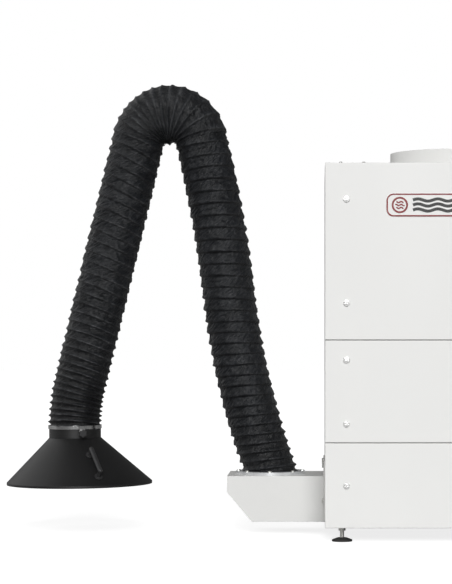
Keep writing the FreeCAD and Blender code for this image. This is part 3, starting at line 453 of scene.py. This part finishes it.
# What changes along the duct is given at stations: lengths from its foot, then values there.
PITCH = ([-0.06, 0.0, 0.06, 0.121, 0.21, 0.30, 0.565, 0.70, 1.0, 1.047, 1.09, 1.14, 1.177,
          1.22, 1.27, 1.30, 1.33, 1.36, 1.60, 1.72, 1.85, 1.95, 2.04, 2.11, 2.22],
         [0.025, 0.025, 0.027, 0.029, 0.0315, 0.0325, 0.0355, 0.0374, 0.0375, 0.034, 0.028,
          0.022, 0.018, 0.016, 0.016, 0.022, 0.032, 0.0346, 0.0344, 0.033, 0.0305, 0.0265,
          0.0235, 0.0185, 0.0165])
RING_LEAN = ([0, 0.12, 0.3, 0.8, 0.95, 1.25, 1.36, 1.46, 1.6, 1.9, 2.2],
             [0.16, 0.14, 0.07, 0.05, 0.0, 0.04, 0.20, 0.20, 0.11, 0.07, 0.0])
FRONT_LEAN = ([0, 0.95, 1.2, 1.4, 1.9, 2.2], [0.05, 0.05, 0.0, -0.05, -0.13, -0.15])
SKIRT = ([0, 0.9, 1.1, 1.25, 1.4, 1.9, 2.1],
         [0.0042, 0.0040, 0.0020, 0.0018, 0.0034, 0.0024, 0.0008])
SLACK = ([0, 0.09, 0.2, 0.95, 1.05, 1.3, 1.45, 1.7, 1.85, 2.0, 2.12, 2.2],
         [0.0062, 0.0044, 0.0010, 0.0010, 0.0034, 0.0038, 0.0014, 0.0020, 0.0036, 0.0056,
          0.0070, 0.0074])
RUB_AND_HIGHLIGHT = ([1.0, 1.15, 1.5, 2.0], [0.15, 0.6, 0.8, 1.0])
WRINKLE_BY_PITCH = ([0.017, 0.025, 0.034], [0.35, 0.75, 1.0])
WRINKLE = 0.0025
BEAD = 0.0015
BEAD_SPREAD = 0.0018
SKIRT_EASE = 0.0022
TUCK_SHADE_SPREAD = 0.0030
FOLD_SHADE_DEPTH = 0.0060
WANDER = 0.0016
SWELL = 0.0006
CROOK, CROOK_SHIFT, CROOK_SPREAD = 0.0150, 0.020, 0.066
CROWN, CROWN_SPREAD = 0.0095, 0.085
ELBOW_MIDDLE = (run_start[3] + run_start[4]) / 2
turns_made = np.cumsum(HOSE_STEP / np.interp(hose_s, *PITCH))
rng = np.random.default_rng(741)


def cloth_noise(across, along, cells):
    """Smooth noise from a grid of random values: across wraps after the given number of cells,
    along runs on over a long table. Values between grid points are eased in both ways."""
    table = rng.uniform(-1, 1, (cells, 4096))
    a0, b0 = np.floor(across).astype(int), np.floor(along).astype(int)
    fa, fb = across - a0, along - b0
    fa, fb = fa * fa * (3 - 2 * fa), fb * fb * (3 - 2 * fb)
    low = table[a0 % cells, b0 % 4096] * (1 - fa) + table[(a0 + 1) % cells, b0 % 4096] * fa
    high = (table[a0 % cells, (b0 + 1) % 4096] * (1 - fa)
            + table[(a0 + 1) % cells, (b0 + 1) % 4096] * fa)
    return low * (1 - fb) + high * fb


def hose_skin(s, around):
    """The cloth's radius at a length s and an angle around the duct, with two colour masks: one
    for the line of the wire, to be painted lighter towards the hood, partly as rubbed coating and
    partly as a painted highlight on the ridge; and one for painted shade, in the tuck just under
    each turn of the wire and in the deep folds. f is the share of the way from one turn of the
    wire to the next.
    The radius is the duct's, plus a skirt that falls from one turn to the next on the side
    gravity pulls to, less a sine hollow for slack, plus the wire's own bead, plus diagonal
    wrinkles that are widest between turns. At the elbow the cloth bunches into the crook, and
    stands up at the crown. The leans tilt the wire's rings across the duct and to the front."""
    round_share = around / (2 * np.pi)
    lean_across = np.interp(s, *RING_LEAN) * np.cos(around)
    lean_front = np.interp(s, *FRONT_LEAN) * np.sin(around)
    level = s - HOSE_R * (lean_across - lean_front)
    wander = WANDER * cloth_noise(round_share * 5, s / 0.03, 5)
    phase = np.interp(level + wander, hose_s, turns_made) - round_share
    f = phase - np.floor(phase)
    near = np.minimum(f, 1 - f)
    pitch = np.interp(s, *PITCH)
    pull = np.sin(np.interp(s, hose_s, hose_turn))
    patchy = 1 + 0.35 * cloth_noise(round_share * 9, phase, 9)
    slack = np.interp(s, *SLACK)
    saw = (1 - 2 * f) * (1 - np.exp(-(near * pitch / SKIRT_EASE) ** 2))
    hollow = np.sin(np.pi * f) ** 0.8
    wire = np.exp(-(near * pitch / BEAD_SPREAD) ** 2)
    crease = 0.45 - np.abs(cloth_noise(round_share * 44 + s * 125, s / 0.017, 44)) * 1.6
    crease += 0.3 - np.abs(cloth_noise(round_share * 66 + s * 150, s / 0.012, 66))
    crease += 0.4 * cloth_noise(round_share * 40 - s * 40, s / 0.012, 40)
    broad = cloth_noise(round_share * 7, s / 0.05, 7)
    open_cloth = 0.25 + 0.75 * np.sin(np.pi * f)
    wrinkle = np.interp(pitch, *WRINKLE_BY_PITCH) * WRINKLE
    from_middle = s - ELBOW_MIDDLE
    crook = np.minimum(1.6 * np.exp(-((from_middle - CROOK_SHIFT) / CROOK_SPREAD) ** 2), 1.0)
    crook = crook * np.clip(np.cos(around), 0, 1) ** 2
    crown = np.exp(-(from_middle / CROWN_SPREAD) ** 2) * np.clip(-np.cos(around), 0, 1)
    radius = (HOSE_R + CROOK * crook + CROWN * crown
              + pull * np.interp(s, *SKIRT) * patchy * saw - slack * patchy * (hollow - 0.35)
              + BEAD * wire + wrinkle * open_cloth * crease + SWELL * broad)
    # Painted shade: the tuck just under each turn of the wire, on the side gravity pulls to, and
    # the deep folds between turns make a mask that darkens the cloth's colour.
    under_rib_shade = np.exp(-((1 - f) * pitch / TUCK_SHADE_SPREAD) ** 2) * np.clip(pull, 0, 1)
    under_rib_shade += np.exp(-(f * pitch / TUCK_SHADE_SPREAD) ** 2) * np.clip(-pull, 0, 1)
    fold_shade = np.minimum(hollow ** 2 * slack / FOLD_SHADE_DEPTH, 1.0)
    # The wire's line, stronger towards the hood, is to be painted lighter: partly rubbed coating,
    # partly a painted highlight on the ridge.
    rub_and_highlight = wire * np.interp(s, *RUB_AND_HIGHLIGHT)
    return radius, rub_and_highlight, np.clip(1.2 * under_rib_shade + fold_shade * 0.8, 0, 1)


def duct_points(s, around, radius):
    """A ring of the given radius square to the centre line at each s: the centre, plus the
    radius times the in-plane normal's cosine and the sideways direction's sine."""
    heading = np.interp(s, hose_s, hose_turn)
    x = np.interp(s, hose_s, line_x) - np.sin(heading) * radius * np.cos(around)
    z = np.interp(s, hose_s, line_z) + np.cos(heading) * radius * np.cos(around)
    return np.stack([x, radius * np.sin(around) + 0 * s, z], -1)


def black_cloth(name):
    """Coated cloth: a plain weave of two crossed waves on the duct's own lengths, with slanted
    creases. The wire's line is lighter, partly rubbed coating and partly a painted highlight; the
    crests of the creases carry painted highlights, and the tucks and folds get painted shade."""
    material, tree, shader, coords = new_finish(name)
    lengths = node(tree, "ShaderNodeUVMap", {"uv_map": "UVMap"}).outputs[0]
    threads = [node(tree, "ShaderNodeTexWave", {"bands_direction": way, "wave_profile": "SIN"},
                    {"Vector": lengths, "Scale": 260.0, "Distortion": 0.4}).outputs["Fac"]
               for way in ("X", "Y")]
    weave = node(tree, "ShaderNodeMath", {"operation": "MULTIPLY"},
                 {0: threads[0], 1: threads[1]}).outputs[0]
    cloud = node(tree, "ShaderNodeTexNoise", None, {
        "Vector": coords, "Scale": 26.0, "Detail": 7.0, "Roughness": 0.65}).outputs["Fac"]
    fleck = node(tree, "ShaderNodeTexNoise", None, {
        "Vector": coords, "Scale": 190.0, "Detail": 4.0, "Roughness": 0.7}).outputs["Fac"]
    wire_rub_and_highlight = node(tree, "ShaderNodeAttribute", {"attribute_name": "wire"}).outputs["Fac"]
    painted_tuck_shade = node(tree, "ShaderNodeAttribute", {"attribute_name": "tuck_shade"}).outputs["Fac"]
    slopes = [node(tree, "ShaderNodeVectorMath", {"operation": "DOT_PRODUCT"},
                   {0: lengths, 1: way}).outputs["Value"]
              for way in ((85.0, 125.0, 0.0), (-34.0, 22.0, 0.0))]
    slanted = node(tree, "ShaderNodeCombineXYZ", None, {0: slopes[0], 1: slopes[1]}).outputs[0]
    fine = node(tree, "ShaderNodeTexNoise", None, {
        "Vector": slanted, "Scale": 1.0, "Detail": 3.0, "Roughness": 0.6}).outputs["Fac"]
    sharp = node(tree, "ShaderNodeMath", {"operation": "ABSOLUTE"}, {
        0: node(tree, "ShaderNodeMath", {"operation": "SUBTRACT"}, {0: fine, 1: 0.5}).outputs[0]
    }).outputs[0]
    cloth = tint(tree, ramp(tree, cloud, 0.3, 0.7), (0.0038, 0.0047, 0.0062),
                 (0.0074, 0.0090, 0.0118))
    cloth = tint(tree, ramp(tree, fleck, 0.58, 0.76), cloth, (0.060, 0.061, 0.063))
    # Lighter along the wire: partly rubbed coating, partly a painted highlight.
    rub_and_highlight = node(tree, "ShaderNodeMath", {"operation": "MULTIPLY"},
                  {0: wire_rub_and_highlight, 1: ramp(tree, cloud, 0.38, 0.72)}).outputs[0]
    cloth = tint(tree, rub_and_highlight, cloth, (0.150, 0.153, 0.160))
    # Painted highlight: thin light lines along the sharp crests of the slanted creases.
    painted_crease_highlight = node(tree, "ShaderNodeMath", {"operation": "MULTIPLY"}, {
        0: ramp(tree, sharp, 0.022, 0.0), 1: ramp(tree, cloud, 0.42, 0.62)}).outputs[0]
    cloth = tint(tree, painted_crease_highlight, cloth, (0.062, 0.064, 0.068))
    # Painted shade: the tucks and folds are darkened to near black.
    cloth = tint(tree, painted_tuck_shade, cloth, (0.0012, 0.0013, 0.0015))
    skin = node(tree, "ShaderNodeBump", {"invert": True}, {
        "Height": sharp, "Distance": 0.0085, "Strength": 0.9}).outputs[0]
    skin = node(tree, "ShaderNodeBump", None, {
        "Height": fleck, "Distance": 0.0008, "Strength": 0.5, "Normal": skin}).outputs[0]
    skin = node(tree, "ShaderNodeBump", None, {
        "Height": weave, "Distance": 0.00022, "Strength": 0.5, "Normal": skin}).outputs[0]
    tree.links.new(cloth, shader.inputs["Base Color"])
    tree.links.new(node(tree, "ShaderNodeMapRange", None, {
        "Value": cloud, "From Min": 0.3, "From Max": 0.7,
        "To Min": 0.36, "To Max": 0.50}).outputs[0], shader.inputs["Roughness"])
    tree.links.new(skin, shader.inputs["Normal"])
    shader.inputs["Specular IOR Level"].default_value = 0.34
    shader.inputs["Sheen Weight"].default_value = 0.03
    shader.inputs["Sheen Roughness"].default_value = 0.45
    return material


hose_cloth = black_cloth("black_duct_cloth")
around = np.linspace(0.5 * np.pi, 2.5 * np.pi, COLUMNS, endpoint=False)[None, :]


def duct_length(name, low, high, node_name):
    """A closed length of duct: rows of the outer skin from low to high, then a plain lining
    that comes back inside it. low may differ around the ring, where the foot is cut level.
    It returns the mesh and each point's length along the duct."""
    top = float(high)
    rows = int((top - float(np.mean(low))) / ROW_STEP)
    share = np.linspace(0, 1, rows)[:, None]
    s = low + (top - low) * share
    radius, wire, tuck_shade = hose_skin(s, around)
    back = np.linspace(1, 0, max(4, rows // 20))[:, None]
    s_back = low + (top - low) * back
    outer = duct_points(s, around, radius)
    inner = duct_points(s_back, around, HOSE_INSIDE + 0 * s_back + 0 * around)
    blank = np.zeros(inner.shape[:2])
    grid = np.concatenate([outer, inner])
    length = np.concatenate([s.mean(1), s_back.mean(1), s.mean(1)[:1]])
    girth = np.linspace(0, 2 * np.pi * HOSE_R, COLUMNS + 1)
    made = surface(name, grid, hose_cloth, close_rows=True, uv=(girth, length),
                   extra={"wire": np.concatenate([wire + 0 * radius, blank]),
                          "tuck_shade": np.concatenate([tuck_shade, blank])})
    if node_name:
        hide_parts(node_name)
    return made, np.concatenate([s + 0 * around, s_back + 0 * around])


SEAMS = [run_start[1], run_start[3], ELBOW_MIDDLE, run_start[4],
         run_start[5], run_start[6] - 0.0005]
FOOT_Z = 0.1873
foot_rise = ((FOOT_Z - HOSE_START[1] - HOSE_R * math.cos(HOSE_HEADING) * np.cos(around))
             / math.sin(HOSE_HEADING))
base, base_s = duct_length("hose_foot", foot_rise, SEAMS[0], "hose_base_bend")
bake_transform(base)
lower, lower_s = duct_length("hose_lower", np.full((1, COLUMNS), SEAMS[0]), SEAMS[1],
                             "hose_lower_limb")
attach(lower, "lower_arm")


elbow_a, elbow_a_s = duct_length("hose_elbow_lower", np.full((1, COLUMNS), SEAMS[1]), SEAMS[2],
                                 "hose_elbow_bend")
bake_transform(elbow_a)
elbow_b, elbow_b_s = duct_length("hose_elbow_upper", np.full((1, COLUMNS), SEAMS[2]), SEAMS[3],
                                 None)
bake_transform(elbow_b)
upper, upper_s = duct_length("hose_upper", np.full((1, COLUMNS), SEAMS[3]), SEAMS[4],
                             "hose_upper_limb")
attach(upper, "upper_arm")
wrist, wrist_s = duct_length("hose_wrist", np.full((1, COLUMNS), SEAMS[4]), SEAMS[5],
                             "hose_wrist_bend")
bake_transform(wrist)

# ---- hood -----------------------------------------------------------------------------------
# A spun steel cone with a short collar, satin black. The duct's end is held on the collar by a
# brushed stainless band with a moulded star knob, and a bow handle stands off the cone.
dress(coated("hood_satin", (0.0052, 0.0052, 0.0055), (0.0064, 0.0064, 0.0067), (0.43, 0.50),
             patch=5.0, grain=900.0, depth=0.00007, corner=0.0012, wear=(0.06, 0.06, 0.06)),
      "hood_cone", "hood_collar")
dress(coated("band_stainless", (0.44, 0.44, 0.44), (0.52, 0.52, 0.52), (0.16, 0.26),
             metallic=1.0, patch=30.0, grain=300.0, stretch=(1, 1, 18), depth=0.00004),
      "hose_clamp_band")
dress(coated("grip_moulding", (0.022, 0.022, 0.023), (0.030, 0.030, 0.031), (0.34, 0.48),
             grain=1200.0, depth=0.00012, corner=0.0015), "hood_handle", "clamp_knob")

# ---- floor, light and camera ----------------------------------------------------------------
# A pale floor, an even white surround and two broad soft lamps: the key from the front, above
# eye level, and a weaker one from the left. The floor and the surround are brighter to the
# camera than as light sources, so they stay white without washing out the black parts.
floor_x, floor_y = np.meshgrid(np.linspace(-30, 30, 3), np.linspace(-30, 30, 3))
floor_skin, floor_tree, floor_shader, floor_coords = new_finish("pale_floor")
floor_tone = node(floor_tree, "ShaderNodeTexNoise", None, {
    "Vector": floor_coords, "Scale": 2.0, "Detail": 4.0}).outputs["Fac"]
floor_tree.links.new(tint(floor_tree, floor_tone, (0.44, 0.44, 0.44), (0.46, 0.46, 0.46)),
                     floor_shader.inputs["Base Color"])
floor_shader.inputs["Roughness"].default_value = 0.9
floor_shader.inputs["Specular IOR Level"].default_value = 0.1
floor_seen = node(floor_tree, "ShaderNodeLightPath").outputs["Is Camera Ray"]
floor_glow = node(floor_tree, "ShaderNodeMapRange", None,
                  {"Value": floor_seen, "To Min": 0.0, "To Max": 0.82}).outputs[0]
floor_tree.links.new(floor_glow, floor_shader.inputs["Emission Strength"])
floor_shader.inputs["Emission Color"].default_value = (1, 1, 1, 1)
floor = surface("floor", np.stack([floor_x, floor_y, 0 * floor_x], -1), floor_skin,
                close_columns=False)

world = bpy.data.worlds.new("studio")
bpy.context.scene.world = world
world.use_nodes = True
surround = world.node_tree
seen = node(surround, "ShaderNodeLightPath").outputs["Is Camera Ray"]
surround_level = node(surround, "ShaderNodeMapRange", None,
                      {"Value": seen, "To Min": 0.12, "To Max": 1.0}).outputs[0]
surround.links.new(surround_level, surround.nodes["Background"].inputs["Strength"])
surround.nodes["Background"].inputs["Color"].default_value = (1, 1, 1, 1)


def sun(name, come_from, power, softness):
    """A soft distant lamp that shines from a direction."""
    light = bpy.data.lights.new(name, "SUN")
    light.energy = power
    light.angle = softness
    made = bpy.data.objects.new(name, light)
    bpy.context.scene.collection.objects.link(made)
    toward = -np.array(come_from) / np.linalg.norm(come_from)
    made.rotation_euler = (math.acos(-toward[2]), 0.0, math.atan2(-toward[0], toward[1]))


sun("key", (0.05, -0.90, 0.42), 2.52, 0.5)
sun("side", (-0.85, 0.30, 0.50), 0.95, 1.4)

camera_data = bpy.data.cameras.new("camera")
camera_data.lens = 124.15
camera_data.sensor_width = 36.0
camera_data.shift_x = -0.161
camera_data.shift_y = 0.0788
camera = bpy.data.objects.new("camera", camera_data)
bpy.context.scene.collection.objects.link(camera)
camera.location = (0.0705, -6.203, 0.595)
camera.rotation_euler = (math.pi / 2, 0.0, 0.0)
bpy.context.scene.camera = camera
bpy.context.scene.view_settings.view_transform = "Standard"
